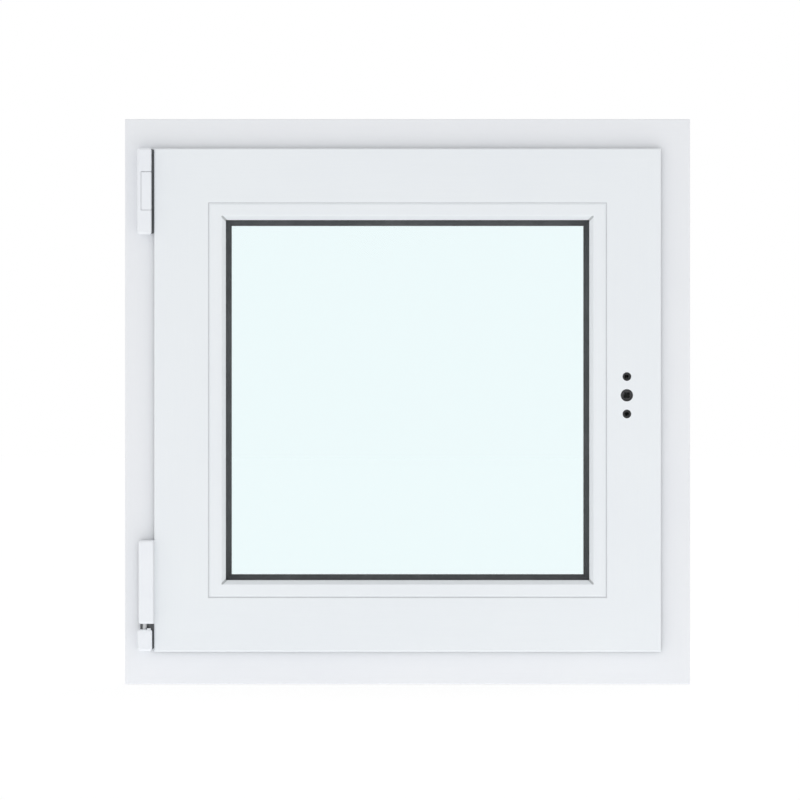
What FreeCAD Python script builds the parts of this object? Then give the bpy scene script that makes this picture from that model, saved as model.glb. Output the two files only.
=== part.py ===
import FreeCAD, Part
import os
import re
import Sketcher

# A white plastic tilt and turn window, closed: one fixed frame and one sash,
# hung on the left as seen from the room, with the holes for a handle on the right.
#
# Millimetres. +Z is up and +X is right as seen from the room. The room is on -Y.
# The origin is the middle of the sill's underside, halfway through the frame's depth.
#
# Each bar is drawn in its own corner: u (along X) runs from the bar's outer edge
# towards the glass, v (along Y) runs from its room face to the outside, and the bar
# is padded along Z. Turning it about Y brings it to its side of the window.

doc = FreeCAD.newDocument("TiltTurnWindow")

# Driving sizes

SIZES = {
    # Window
    "frame_width": 650,  # across the fixed frame
    "frame_height": 650,  # height of the fixed frame
    "frame_depth": 70,  # room face to outside face
    "reveal_side": 33.7,  # frame left in view beside the sash
    "reveal_head": 33.9,  # frame left in view above the sash
    "reveal_sill": 37.4,  # frame left in view below the sash
    "seal_gap": 3,  # room for a gasket between two faces
    # Frame section
    "frame_face": 41.5,  # outer edge to rebate floor
    "frame_leg": 10,  # thickness of the outside leg
    "frame_leg_top": 65,  # outer edge to the tip of the leg
    "leg_fall": 3.5,  # fall of a leg's tip towards the outside
    "frame_edge_radius": 1,  # rounding of the frame's outer edges
    "claw_inset": 8,  # face to the groove for wall brackets
    "claw_width": 6,  # width of that groove
    "claw_depth": 4,  # depth of that groove
    "striker_width": 8,  # groove for the strikers in the rebate floor
    "striker_deep": 2,  # depth of that groove
    "frame_wall": 2.8,  # outer walls of the frame section
    "frame_web": 1.6,  # webs between the frame's chambers
    "stop_groove_at": 59.3,  # outer edge to the stop gasket's groove
    # Sash section
    "sash_proud": 13,  # sash face in front of the frame face
    "sash_face": 62.15,  # outer edge to the glazing rebate
    "flange_reach": 20,  # how far the flange passes the hardware face
    "sash_edge_radius": 1.8,  # rounding of the flange's front edge
    "joint_radius": 0.8,  # rounding of the sash beside the bead
    "sash_leg": 16,  # thickness of the outside leg
    "sash_leg_top": 84.5,  # outer edge to the tip of the leg
    "hardware_axis": 23,  # room face to the middle of the hardware groove
    "recess_width": 16.3,  # wide part of the hardware groove
    "recess_deep": 3,  # depth of the wide part
    "slot_width": 12.3,  # narrow part of the hardware groove
    "slot_deep": 6.5,  # depth of the narrow part
    "sash_wall": 2.8,  # outer walls of the sash section
    "sash_web": 1.6,  # webs between the sash's chambers
    "flange_groove_at": 1.8,  # outer edge to the overlap gasket's groove
    # Gaskets
    "groove_width": 2.6,  # width of a gasket's root groove
    "groove_depth": 2.8,  # depth of a gasket's root groove
    "lip_side": 0.9,  # gasket body past its groove on each side
    "glazing_lip": 6.7,  # room gasket in view beside the bead
    "glazing_lip_rise": 1.6,  # hump of the room gasket beside the bead
    "lip_fall": 0.4,  # fall of the hump towards the glass
    "lip_edge": 0.7,  # thin edge of a glazing gasket on the glass
    "outside_lip": 2.5,  # outside gasket in view beside the leg
    # Glazing
    "bead_height": 20.05,  # rebate floor to the bead's glass side edge
    "bead_step": 0.4,  # bead face behind the sash face
    "bead_wall": 1.8,  # walls of the hollow bead
    "foot_ahead": 10,  # bead's back to the front of its clip foot
    "foot_width": 3,  # thickness of the foot
    "foot_deep": 3,  # how far the foot reaches into the sash
    "foot_play": 0.2,  # clearance around the foot
    "shoulder_width": 3,  # bevel of the bead beside the sash
    "shoulder_fall": 1.3,  # depth of that bevel
    "slope_width": 4.8,  # slope of the bead towards the glass
    "slope_fall": 5,  # depth of that slope
    "bead_round": 2,  # rounding between the bead's face and its slope
    "glass_clearance": 5,  # rebate floor to the edge of the glass
    "pane_thickness": 4,  # one sheet of glass
    "pane_space": 16,  # between the two sheets
    "sealant_width": 4,  # edge sealant around the spacer
    "spacer_width": 7,  # spacer bar between the sheets
    # Handle
    "handle_height": 332.3,  # handle axis above the sill's underside
    "backset": 16.2,  # recess floor to the handle axis
    "handle_bore": 14.2,  # bore for the handle's collar
    "screw_bore": 10,  # bore for a handle screw's stud
    "screw_spacing": 43,  # between the two screw bores
    "gearbox_length": 74,  # height of the gearbox
    "gearbox_thickness": 11.4,  # gearbox along the spindle
    "gearbox_back": 26.5,  # recess floor to the gearbox's far side
    "gearbox_play": 0.3,  # clearance around the gearbox
    "faceplate_length": 134,  # steel strip in the hardware groove
    "faceplate_width": 16,  # width of the strip
    "faceplate_thickness": 2.4,  # thickness of the strip
    "gearbox_thread": 5,  # threads for the handle screws
    "follower_diameter": 13,  # turning nut in the gearbox
    "follower_play": 0.15,  # radial clearance of the nut
    "spindle_square": 7,  # square hole for the spindle
    # Drainage
    "drain_apart": 400,  # between the two drain covers
    "drain_height": 22,  # middle of a drain slot above the underside
    "drain_slot_length": 28,  # slot in the outside wall
    "drain_slot_width": 6,  # height of the slot
    "drain_slot_deep": 12,  # depth of the slot
    "drain_cover_length": 42,  # cover along the sill
    "drain_cover_height": 14,  # height of the cover
    "drain_cover_proud": 5,  # cover in front of the outside face
    "drain_cover_wall": 1.6,  # wall of the cover
    # Hinges
    "hinge_axis_in": 23,  # turning axis from the frame's outer edge
    "hinge_axis_out": 11,  # turning axis in front of the frame face
    "hinge_proud": 22,  # covers in front of the frame face
    "hinge_round": 3,  # rounding of the covers
    "hinge_play": 0.35,  # clearance between turning parts
    "upper_above": 0.4,  # bearing's top above the sash's top
    "upper_slot": 3.1,  # open slot between bearing and sash
    "upper_length": 99.4,  # height of the upper hinge
    "upper_left": 8.7,  # axis to the bearing's left side
    "upper_wall": 4.3,  # wall beside the knuckle
    "knuckle_up": 27.8,  # bearing's underside to the knuckle
    "knuckle_round": 0.8,  # rounding of the knuckle's edges
    "knuckle_length": 44.5,  # height of the knuckle
    "knuckle_back": 4,  # frame face to the back of the knuckle
    "upper_pin": 6,  # diameter of the upper pin
    "upper_pin_cap": 8,  # bearing above the pin's top
    "plate_thickness": 2,  # metal plates on the frame face
    "plate_under": 0.8,  # how far the plates reach under the flange
    "plate_left": 5.4,  # axis to the plates' left edge
    "plate_corner": 4,  # rounding of the plates' corners beside the sash
    "plate_end": 1,  # upper plate short of the bearing at each end
    "rest_above": 0.95,  # lower cover's underside above the sash's
    "rest_slot": 2.4,  # open slot between lower cover and sash
    "rest_length": 24.85,  # height of the lower cover
    "rest_left": 8.2,  # axis to the lower cover's left side
    "lug_rise": 1.3,  # raised lug on top of the lower cover
    "lug_width": 4,  # width of the lug
    "flute_radius": 9,  # radius of the shallow hollow in the cover's face, at its top
    "flute_deep": 1,  # depth of that hollow at its top
    "flute_left": 1.5,  # axis to the middle of that hollow
    "flute_length": 11,  # how far it runs down
    "cover_wall": 2,  # wall of the covers
    "cover_lip": 1.6,  # sash hinge cover's lip on the sash's face
    "cover_lip_thickness": 0.5,  # thickness of that lip
    "pin_gap": 6.4,  # open height between the two lower covers
    "bracket_behind": 14.4,  # bracket's plate behind the sash hinge cover
    "strap_slot": 0.1,  # clearance between that cover and the sash
    "strap_length": 96.2,  # height of the sash hinge cover
    "strap_left": 7.1,  # axis to that cover's left side
    "strap_back": 2.6,  # frame face to the back of that cover
    "strap_plate": 3,  # thickness of the strap
    "strap_barrel": 9,  # diameter of the strap's barrel
    "lower_pin": 5,  # diameter of the lower pin
    "lower_pin_up": 5.2,  # lower cover's underside to the pin's foot
    "lower_pin_length": 100,  # length of the lower pin
    # Drawing
    "over": 1,  # how far a cutting sketch passes the material
    "mitre_reach": 100,  # side of the triangle that cuts a mitre
}

sheet = doc.addObject("Spreadsheet::Sheet", "Sizes")
for row, (alias, value) in enumerate(SIZES.items(), start=1):
    sheet.set("A%d" % row, alias)
    sheet.set("B%d" % row, str(value))
    sheet.setAlias("B%d" % row, alias)
doc.recompute()

TOUCH = 0.01  # how near a point lies to count as on a line or face


# Drawing helpers

def tied(text):
    """Turns 'frame_width / 2' into the expression that reads the sheet."""
    return re.sub(r"\b([a-z][a-z_]*)\b", r"Sizes.\1", text)


def size(text):
    """Value of an expression over the sheet's names."""
    return float(sheet.evalExpression(tied(text)))


def origin_plane(body, role):
    """One of the body's own three planes, such as XY_Plane."""
    return [f for f in body.Origin.OriginFeatures if f.Role == role][0]


def new_body(node):
    """An empty body whose label is the node's name."""
    body = doc.addObject("PartDesign::Body", node)
    body.Label = node
    return body


def new_sketch(body, name, role, lift="0"):
    """An empty sketch on a plane of the body, lifted along the plane's normal."""
    sketch = body.newObject("Sketcher::SketchObject", name)
    sketch.AttachmentSupport = [(origin_plane(body, role), "")]
    sketch.MapMode = "FlatFace"
    if lift != "0":
        sketch.setExpression("AttachmentOffset.Base.z", tied(lift))
    return sketch


def fix(sketch, kind, element, end, text):
    """Ties one coordinate of a point to the sheet."""
    value = size(text)
    ends = (-1, 1, element, end)
    if value < 0:
        ends = (element, end, -1, 1)
        text = "-(%s)" % text
    index = sketch.addConstraint(Sketcher.Constraint(kind, *ends, abs(value)))
    sketch.setExpression("Constraints[%d]" % index, tied(text))


def add_outline(sketch, corners):
    """A closed run of straight lines through corners given as expressions."""
    first = sketch.GeometryCount
    count = len(corners)
    points = [FreeCAD.Vector(size(x), size(y), 0) for x, y in corners]
    for i in range(count):
        sketch.addGeometry(Part.LineSegment(points[i], points[(i + 1) % count]), False)
    for i in range(count):
        following = first + (i + 1) % count
        sketch.addConstraint(Sketcher.Constraint("Coincident", first + i, 2, following, 1))
    for i, (x, y) in enumerate(corners):
        fix(sketch, "DistanceX", first + i, 1, x)
        fix(sketch, "DistanceY", first + i, 1, y)


def add_box(sketch, left, low, right, high):
    """A rectangle by its four edges."""
    add_outline(sketch, [(left, low), (right, low), (right, high), (left, high)])


def add_circle(sketch, x, y, diameter):
    """A circle by centre and diameter."""
    centre = FreeCAD.Vector(size(x), size(y), 0)
    axis = FreeCAD.Vector(0, 0, 1)
    index = sketch.addGeometry(Part.Circle(centre, axis, size(diameter) / 2), False)
    fix(sketch, "DistanceX", index, 3, x)
    fix(sketch, "DistanceY", index, 3, y)
    which = sketch.addConstraint(Sketcher.Constraint("Diameter", index, size(diameter)))
    sketch.setExpression("Constraints[%d]" % which, tied(diameter))


def pad(body, name, sketch, length, midplane=False):
    """Material along the sketch's normal."""
    feature = body.newObject("PartDesign::Pad", name)
    feature.Profile = sketch
    feature.setExpression("Length", tied(length))
    if midplane:
        feature.SideType = "Symmetric"
    doc.recompute()
    sketch.Visibility = False
    return feature


def pocket(body, name, sketch, depth=None, midplane=False):
    """A cut upwards from a plan, or towards the outside from a front view."""
    before = body.Shape.Volume
    feature = body.newObject("PartDesign::Pocket", name)
    feature.Profile = sketch
    feature.Reversed = sketch.AttachmentSupport[0][0].Role == "XY_Plane"
    if depth is None:
        feature.Type = "ThroughAll"
    else:
        feature.Type = "Length"
        feature.setExpression("Length", tied(depth))
    if midplane:
        feature.SideType = "Symmetric"
    doc.recompute()
    if feature.Shape.isNull() or feature.Shape.Volume > before - 1e-3:
        raise RuntimeError("%s in %s removes nothing" % (name, body.Label))
    sketch.Visibility = False
    return feature


def edges_where(shape, test):
    """Names of the edges whose middle passes the test."""
    names = []
    for i, edge in enumerate(shape.Edges):
        middle = edge.valueAt((edge.FirstParameter + edge.LastParameter) / 2)
        if test(edge, middle):
            names.append("Edge%d" % (i + 1))
    return names


def along_z_at(x, y):
    """A test for edges along Z through a point given as expressions."""
    at_x, at_y = size(x), size(y)

    def test(edge, middle):
        upright = edge.BoundBox.ZLength > 2 * max(edge.BoundBox.XLength, edge.BoundBox.YLength)
        return upright and abs(middle.x - at_x) < TOUCH and abs(middle.y - at_y) < TOUCH

    return test


def fillet(body, name, radius, test):
    """Rounds the edges of the body's last feature that pass the test."""
    base = body.Tip
    feature = body.newObject("PartDesign::Fillet", name)
    feature.Base = (base, edges_where(base.Shape, test))
    feature.setExpression("Radius", tied(radius))
    doc.recompute()
    return feature


def place(body, x, y, z, turn=0):
    """Stands a body at a point, after a turn about Y."""
    turned = FreeCAD.Rotation(FreeCAD.Vector(0, 1, 0), turn)
    body.Placement = FreeCAD.Placement(FreeCAD.Vector(0, 0, 0), turned)
    for axis, text in (("x", x), ("y", y), ("z", z)):
        if size(text) != 0:
            body.setExpression("Placement.Base." + axis, tied(text))


def mitre(body, length):
    """Cuts both ends of a bar at 45 degrees."""
    foot = new_sketch(body, "MitreFoot", "XZ_Plane")
    add_outline(foot, [("-over", "-over"), ("mitre_reach", "-over"), ("mitre_reach", "mitre_reach")])
    pocket(body, "CutFoot", foot)
    head = new_sketch(body, "MitreHead", "XZ_Plane")
    add_outline(head, [
        ("-over", length + " + over"),
        ("mitre_reach", length + " - mitre_reach"),
        ("mitre_reach", length + " + over"),
    ])
    pocket(body, "CutHead", head)


def bar(node, section, chambers, length, rounds):
    """A mitred bar of one section.

    chambers lists the hollows as outlines, or as (left, front, right, back) boxes, and
    rounds lists the edges to round as (name, radius, u, v).
    """
    body = new_body(node)
    sketch = new_sketch(body, "Section", "XY_Plane")
    add_outline(sketch, section)
    for chamber in chambers:
        if isinstance(chamber, tuple):
            add_box(sketch, *chamber)
        else:
            add_outline(sketch, chamber)
    pad(body, "Bar", sketch, length)
    for name, radius, u, v in rounds:
        fillet(body, name, radius, along_z_at(u, v))
    mitre(body, length)
    return body


# Names for sizes that several parts share

SASH_WIDTH = "(frame_width - 2 * reveal_side)"
SASH_HEIGHT = "(frame_height - reveal_head - reveal_sill)"
SASH_LEFT = "-frame_width / 2 + reveal_side"
SASH_RIGHT = "frame_width / 2 - reveal_side"
SASH_TOP = "frame_height - reveal_head"
SASH_FRONT = "-frame_depth / 2 - sash_proud"
SASH_MIDDLE = "(frame_height - reveal_head + reveal_sill) / 2"
SASH_DEPTH = "(frame_depth - frame_leg - seal_gap + sash_proud)"
FLANGE_BACK = "(sash_proud - seal_gap)"
REBATE_BACK = "(%s - sash_leg)" % SASH_DEPTH
GLASS_STACK = "(2 * pane_thickness + pane_space)"
BEAD_BACK = "(%s - 2 * seal_gap - %s)" % (REBATE_BACK, GLASS_STACK)
FOOT_FRONT = "%s - foot_ahead" % BEAD_BACK


def around(name, section, chambers, width, height, left, top, low, front, rounds):
    """Four bars of one section around a rectangle; returns them by side."""
    right = "-(%s)" % left
    bars = {}
    for side, length in (("left", height), ("right", height), ("top", width), ("low", width)):
        bars[side] = bar(name[side], section, chambers, length, rounds)
    place(bars["left"], left, front, low, 0)
    place(bars["right"], right, front, top, 180)
    place(bars["top"], left, front, top, 90)
    place(bars["low"], right, front, low, -90)
    return bars


def ring(node, section, width, height, path_in, y, z):
    """A gasket swept around a rectangle, with square corners.

    The section's u runs inwards from the rectangle's edge; path_in is the sweep's own
    distance from that edge.
    """
    body = new_body(node)
    profile = new_sketch(body, "Section", "XY_Plane")
    add_outline(profile, [("-%s / 2 + %s" % (width, u), v) for u, v in section])
    path = new_sketch(body, "Path", "XZ_Plane")
    half_x = "(%s / 2 - %s)" % (width, path_in)
    half_z = "(%s / 2 - %s)" % (height, path_in)
    corners = [
        ("-" + half_x, "0"),
        ("-" + half_x, half_z),
        (half_x, half_z),
        (half_x, "-" + half_z),
        ("-" + half_x, "-" + half_z),
    ]
    add_outline(path, corners)
    doc.recompute()
    sweep = body.newObject("PartDesign::AdditivePipe", "Sweep")
    sweep.Profile = profile
    sweep.Spine = (path, ["Edge%d" % (i + 1) for i in range(len(corners))])
    sweep.Transition = "Right corner"
    doc.recompute()
    place(body, "0", y, z)
    profile.Visibility = False
    path.Visibility = False
    return body


def flat_ring(node, inset, band, depth, y):
    """A square sectioned ring in the glazing rebate, set in from the sash edge."""
    body = new_body(node)
    sketch = new_sketch(body, "Outline", "XZ_Plane")
    half_x = "(%s / 2 - %s)" % (SASH_WIDTH, inset)
    half_z = "(%s / 2 - %s)" % (SASH_HEIGHT, inset)
    add_box(sketch, "-" + half_x, "-" + half_z, half_x, half_z)
    if band is not None:
        inner_x = "(%s - %s)" % (half_x, band)
        inner_z = "(%s - %s)" % (half_z, band)
        add_box(sketch, "-" + inner_x, "-" + inner_z, inner_x, inner_z)
    pad(body, "Slab", sketch, depth)
    place(body, "0", y, SASH_MIDDLE)
    return body


# The fixed frame

LEG_FACE = "frame_depth - frame_leg"
STRIKER_MIDDLE = "hardware_axis - sash_proud"
CLAW_SIDE = "claw_inset + claw_width"
FRAME_SECTION = [
    ("0", "0"),
    ("frame_face", "0"),
    ("frame_face", STRIKER_MIDDLE + " - striker_width / 2"),
    ("frame_face - striker_deep", STRIKER_MIDDLE + " - striker_width / 2"),
    ("frame_face - striker_deep", STRIKER_MIDDLE + " + striker_width / 2"),
    ("frame_face", STRIKER_MIDDLE + " + striker_width / 2"),
    ("frame_face", LEG_FACE),
    ("stop_groove_at", LEG_FACE),
    ("stop_groove_at", LEG_FACE + " + groove_depth"),
    ("stop_groove_at + groove_width", LEG_FACE + " + groove_depth"),
    ("stop_groove_at + groove_width", LEG_FACE),
    ("frame_leg_top", LEG_FACE),
    ("frame_leg_top - leg_fall", "frame_depth"),
    ("0", "frame_depth"),
    ("0", "frame_depth - claw_inset"),
    ("claw_depth", "frame_depth - claw_inset"),
    ("claw_depth", "frame_depth - claw_inset - claw_width"),
    ("0", "frame_depth - claw_inset - claw_width"),
    ("0", "claw_inset + claw_width"),
    ("claw_depth", "claw_inset + claw_width"),
    ("claw_depth", "claw_inset"),
    ("0", "claw_inset"),
]
CLAW_FLOOR = "claw_depth + frame_wall"
FRAME_FLOOR = "frame_face - striker_deep - frame_wall"
FRAME_CHAMBERS = [
    # room side, middle, outside and leg: (left, front, right, back)
    (CLAW_FLOOR, "frame_wall", FRAME_FLOOR, CLAW_SIDE + " + frame_wall - frame_web"),
    ("frame_wall", CLAW_SIDE + " + frame_wall",
     FRAME_FLOOR, "frame_depth - (%s) - frame_wall" % CLAW_SIDE),
    (CLAW_FLOOR, "frame_depth - (%s) - frame_wall + frame_web" % CLAW_SIDE,
     "frame_face - frame_wall", "frame_depth - frame_wall"),
    ("frame_face - frame_wall + frame_web", LEG_FACE + " + frame_wall",
     "stop_groove_at - frame_wall", "frame_depth - frame_wall"),
]
FRAME_ROUNDS = [
    ("RoomEdge", "frame_edge_radius", "0", "0"),
    ("OutsideEdge", "frame_edge_radius", "0", "frame_depth"),
]
frame = around(
    {
        "left": "frame_hinge_jamb",
        "right": "frame_lock_jamb",
        "top": "frame_head",
        "low": "frame_sill",
    },
    FRAME_SECTION, FRAME_CHAMBERS, "frame_width", "frame_height",
    "-frame_width / 2", "frame_height", "0", "-frame_depth / 2", FRAME_ROUNDS,
)

# Drain slots in the sill, cut through to its outside face
slots = new_sketch(frame["low"], "DrainSlots", "XZ_Plane", "drain_slot_deep - frame_depth")
for side in ("- drain_apart / 2", "+ drain_apart / 2"):
    middle = "frame_width / 2 %s" % side
    add_box(
        slots,
        "drain_height - drain_slot_width / 2", middle + " - drain_slot_length / 2",
        "drain_height + drain_slot_width / 2", middle + " + drain_slot_length / 2",
    )
pocket(frame["low"], "CutDrainSlots", slots, "drain_slot_deep")

for node, where in (("drain_cover_left", "-drain_apart / 2"), ("drain_cover_right", "drain_apart / 2")):
    cover = new_body(node)
    sketch = new_sketch(cover, "Side", "YZ_Plane")
    add_outline(sketch, [
        ("0", "-drain_cover_height / 2"),
        ("drain_cover_proud", "-drain_cover_height / 2"),
        ("drain_cover_proud", "0"),
        ("drain_cover_wall", "drain_cover_height / 2"),
        ("0", "drain_cover_height / 2"),
    ])
    pad(cover, "Hood", sketch, "drain_cover_length", midplane=True)
    mouth = new_sketch(cover, "Mouth", "YZ_Plane")
    add_outline(mouth, [
        ("0", "-drain_cover_height / 2 - over"),
        ("drain_cover_proud - drain_cover_wall", "-drain_cover_height / 2 - over"),
        ("drain_cover_proud - drain_cover_wall", "-drain_cover_wall"),
        ("0", "drain_cover_height / 2 - 2 * drain_cover_wall"),
    ])
    pocket(cover, "CutMouth", mouth, "drain_cover_length - 2 * drain_cover_wall", midplane=True)
    place(cover, where, "frame_depth / 2", "drain_height")

# The stop gasket sits in the frame's outside leg and meets the sash
STOP_SECTION = [
    ("stop_groove_at - lip_side", LEG_FACE + " - seal_gap"),
    ("stop_groove_at + groove_width + lip_side", LEG_FACE + " - seal_gap"),
    ("stop_groove_at + groove_width + lip_side", LEG_FACE),
    ("stop_groove_at + groove_width", LEG_FACE),
    ("stop_groove_at + groove_width", LEG_FACE + " + groove_depth"),
    ("stop_groove_at", LEG_FACE + " + groove_depth"),
    ("stop_groove_at", LEG_FACE),
    ("stop_groove_at - lip_side", LEG_FACE),
]
ring(
    "frame_stop_gasket", STOP_SECTION, "frame_width", "frame_height",
    "stop_groove_at", "-frame_depth / 2", "frame_height / 2",
)

# The sash

RECESS_FLOOR = "flange_reach + recess_deep"
SLOT_FLOOR = "flange_reach + recess_deep + slot_deep"
SASH_SECTION = [
    ("0", "0"),
    ("sash_face", "0"),
    ("sash_face", FOOT_FRONT + " - foot_play"),
    ("sash_face - foot_deep - foot_play", FOOT_FRONT + " - foot_play"),
    ("sash_face - foot_deep - foot_play", FOOT_FRONT + " + foot_width + foot_play"),
    ("sash_face", FOOT_FRONT + " + foot_width + foot_play"),
    ("sash_face", REBATE_BACK),
    ("sash_leg_top", REBATE_BACK),
    ("sash_leg_top - leg_fall", SASH_DEPTH),
    ("flange_reach", SASH_DEPTH),
    ("flange_reach", "hardware_axis + recess_width / 2"),
    (RECESS_FLOOR, "hardware_axis + recess_width / 2"),
    (RECESS_FLOOR, "hardware_axis + slot_width / 2"),
    (SLOT_FLOOR, "hardware_axis + slot_width / 2"),
    (SLOT_FLOOR, "hardware_axis - slot_width / 2"),
    (RECESS_FLOOR, "hardware_axis - slot_width / 2"),
    (RECESS_FLOOR, "hardware_axis - recess_width / 2"),
    ("flange_reach", "hardware_axis - recess_width / 2"),
    ("flange_reach", FLANGE_BACK),
    ("flange_groove_at + groove_width", FLANGE_BACK),
    ("flange_groove_at + groove_width", FLANGE_BACK + " - groove_depth"),
    ("flange_groove_at", FLANGE_BACK + " - groove_depth"),
    ("flange_groove_at", FLANGE_BACK),
    ("0", FLANGE_BACK),
]
SASH_FLOOR = "sash_face - foot_deep - foot_play - sash_wall"
FRONT_ROW = FLANGE_BACK + " - sash_wall"
REAR_ROW = REBATE_BACK + " - sash_wall"
SASH_CHAMBERS = [
    # flange, room side, middle, behind the hardware groove, outside and leg
    ("flange_groove_at + groove_width + sash_wall", "sash_wall", SLOT_FLOOR, FRONT_ROW),
    (SLOT_FLOOR + " + sash_web", "sash_wall", "sash_face - sash_wall", FRONT_ROW),
    (SLOT_FLOOR + " + sash_web", FRONT_ROW + " + sash_web", SASH_FLOOR, REAR_ROW),
    ("flange_reach + sash_wall", "hardware_axis + recess_width / 2 + sash_wall",
     SLOT_FLOOR, SASH_DEPTH + " - sash_wall"),
    (SLOT_FLOOR + " + sash_web", REAR_ROW + " + sash_web",
     "sash_face - sash_wall", SASH_DEPTH + " - sash_wall"),
    ("sash_face - sash_wall + sash_web", REBATE_BACK + " + sash_wall",
     "sash_leg_top - leg_fall - sash_wall", SASH_DEPTH + " - sash_wall"),
]
SASH_ROUNDS = [
    ("FlangeEdge", "sash_edge_radius", "0", "0"),
    ("BeadJointEdge", "joint_radius", "sash_face", "0"),
]
sash = around(
    {
        "left": "sash_hinge_stile",
        "right": "sash_lock_stile",
        "top": "sash_top_rail",
        "low": "sash_bottom_rail",
    },
    SASH_SECTION, SASH_CHAMBERS, SASH_WIDTH, SASH_HEIGHT,
    SASH_LEFT, SASH_TOP, "reveal_sill", SASH_FRONT, SASH_ROUNDS,
)

# The handle's three holes and the pocket for the gearbox. The lock stile is drawn
# from its top end, so heights are taken down from the sash's top.
lock_stile = sash["right"]
HANDLE_IN = RECESS_FLOOR + " + backset"
HANDLE_DOWN = "(frame_height - reveal_head - handle_height)"
POCKET_FRONT = "(hardware_axis - gearbox_thickness / 2 - gearbox_play)"
gear_room = new_sketch(lock_stile, "GearboxPocket", "XZ_Plane", "-" + POCKET_FRONT)
add_box(
    gear_room,
    "flange_reach", HANDLE_DOWN + " - gearbox_length / 2 - gearbox_play",
    RECESS_FLOOR + " + gearbox_back + gearbox_play",
    HANDLE_DOWN + " + gearbox_length / 2 + gearbox_play",
)
pocket(lock_stile, "CutGearboxPocket", gear_room, "gearbox_thickness + 2 * gearbox_play")
holes = new_sketch(lock_stile, "HandleHoles", "XZ_Plane")
add_circle(holes, HANDLE_IN, HANDLE_DOWN, "handle_bore")
add_circle(holes, HANDLE_IN, HANDLE_DOWN + " - screw_spacing / 2", "screw_bore")
add_circle(holes, HANDLE_IN, HANDLE_DOWN + " + screw_spacing / 2", "screw_bore")
pocket(lock_stile, "DrillHandleHoles", holes, POCKET_FRONT)

gearbox = new_body("lock_gearbox")
sketch = new_sketch(gearbox, "Front", "XZ_Plane")
add_box(
    sketch,
    "backset - gearbox_back", "-gearbox_length / 2",
    "backset", "gearbox_length / 2",
)
add_circle(sketch, "0", "0", "follower_diameter + 2 * follower_play")
add_circle(sketch, "0", "-screw_spacing / 2", "gearbox_thread")
add_circle(sketch, "0", "screw_spacing / 2", "gearbox_thread")
pad(gearbox, "Case", sketch, "gearbox_thickness", midplane=True)
strip = new_sketch(gearbox, "FaceplateFront", "XZ_Plane")
add_box(strip, "backset", "-faceplate_length / 2",
        "backset + faceplate_thickness", "faceplate_length / 2")
pad(gearbox, "Faceplate", strip, "faceplate_width", midplane=True)
HANDLE_X = "frame_width / 2 - reveal_side - (%s)" % HANDLE_IN
GEAR_Y = SASH_FRONT + " + hardware_axis"
place(gearbox, HANDLE_X, GEAR_Y, "handle_height")

follower = new_body("spindle_follower")
sketch = new_sketch(follower, "Front", "XZ_Plane")
add_circle(sketch, "0", "0", "follower_diameter")
HALF_SQUARE = "spindle_square / 2"
add_box(sketch, "-" + HALF_SQUARE, "-" + HALF_SQUARE, HALF_SQUARE, HALF_SQUARE)
pad(follower, "Nut", sketch, "gearbox_thickness", midplane=True)
place(follower, HANDLE_X, GEAR_Y, "handle_height")

# The overlap gasket sits in the sash flange and meets the frame's room face
OVERLAP_SECTION = [
    ("flange_groove_at", FLANGE_BACK + " - groove_depth"),
    ("flange_groove_at + groove_width", FLANGE_BACK + " - groove_depth"),
    ("flange_groove_at + groove_width", FLANGE_BACK),
    ("flange_groove_at + groove_width + lip_side / 2", FLANGE_BACK),
    ("flange_groove_at + groove_width + lip_side / 2", "sash_proud"),
    ("flange_groove_at - lip_side", "sash_proud"),
    ("flange_groove_at - lip_side", FLANGE_BACK),
    ("flange_groove_at", FLANGE_BACK),
]
ring(
    "sash_overlap_gasket", OVERLAP_SECTION, SASH_WIDTH, SASH_HEIGHT,
    "flange_groove_at", SASH_FRONT, SASH_MIDDLE,
)

# Glass, beads and glazing gaskets

PANE_FRONT = "(%s + seal_gap)" % BEAD_BACK
PANE_BACK = "(%s + pane_thickness + pane_space)" % PANE_FRONT
GLASS_IN = "(sash_face + glass_clearance)"
flat_ring("glass_pane_room", GLASS_IN, None, "pane_thickness",
          "%s + %s + pane_thickness" % (SASH_FRONT, PANE_FRONT))
flat_ring("glass_pane_outside", GLASS_IN, None, "pane_thickness",
          "%s + %s + pane_thickness" % (SASH_FRONT, PANE_BACK))
flat_ring("edge_sealant", GLASS_IN, "sealant_width", "pane_space",
          "%s + %s" % (SASH_FRONT, PANE_BACK))
flat_ring("glass_spacer", "(%s + sealant_width)" % GLASS_IN, "spacer_width", "pane_space",
          "%s + %s" % (SASH_FRONT, PANE_BACK))

BEAD_SECTION = [
    ("0", "bead_step + shoulder_fall"),
    ("shoulder_width", "bead_step"),
    ("bead_height - slope_width", "bead_step"),
    ("bead_height", "bead_step + slope_fall"),
    ("bead_height", BEAD_BACK),
    ("0", BEAD_BACK),
    ("0", FOOT_FRONT + " + foot_width"),
    ("-foot_deep", FOOT_FRONT + " + foot_width * 2 / 3"),
    ("-foot_deep", FOOT_FRONT + " + foot_width / 3"),
    ("0", FOOT_FRONT),
]
BEAD_CHAMBER = [
    ("bead_wall", "bead_step + shoulder_fall + bead_wall"),
    ("bead_height - slope_width", "bead_step + shoulder_fall + bead_wall"),
    ("bead_height - bead_wall", "bead_step + slope_fall + bead_wall"),
    ("bead_height - bead_wall", BEAD_BACK + " - bead_wall"),
    ("bead_wall", BEAD_BACK + " - bead_wall"),
]
BEAD_ROUNDS = [
    ("SlopeEdge", "bead_round", "bead_height - slope_width", "bead_step"),
]
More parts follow.
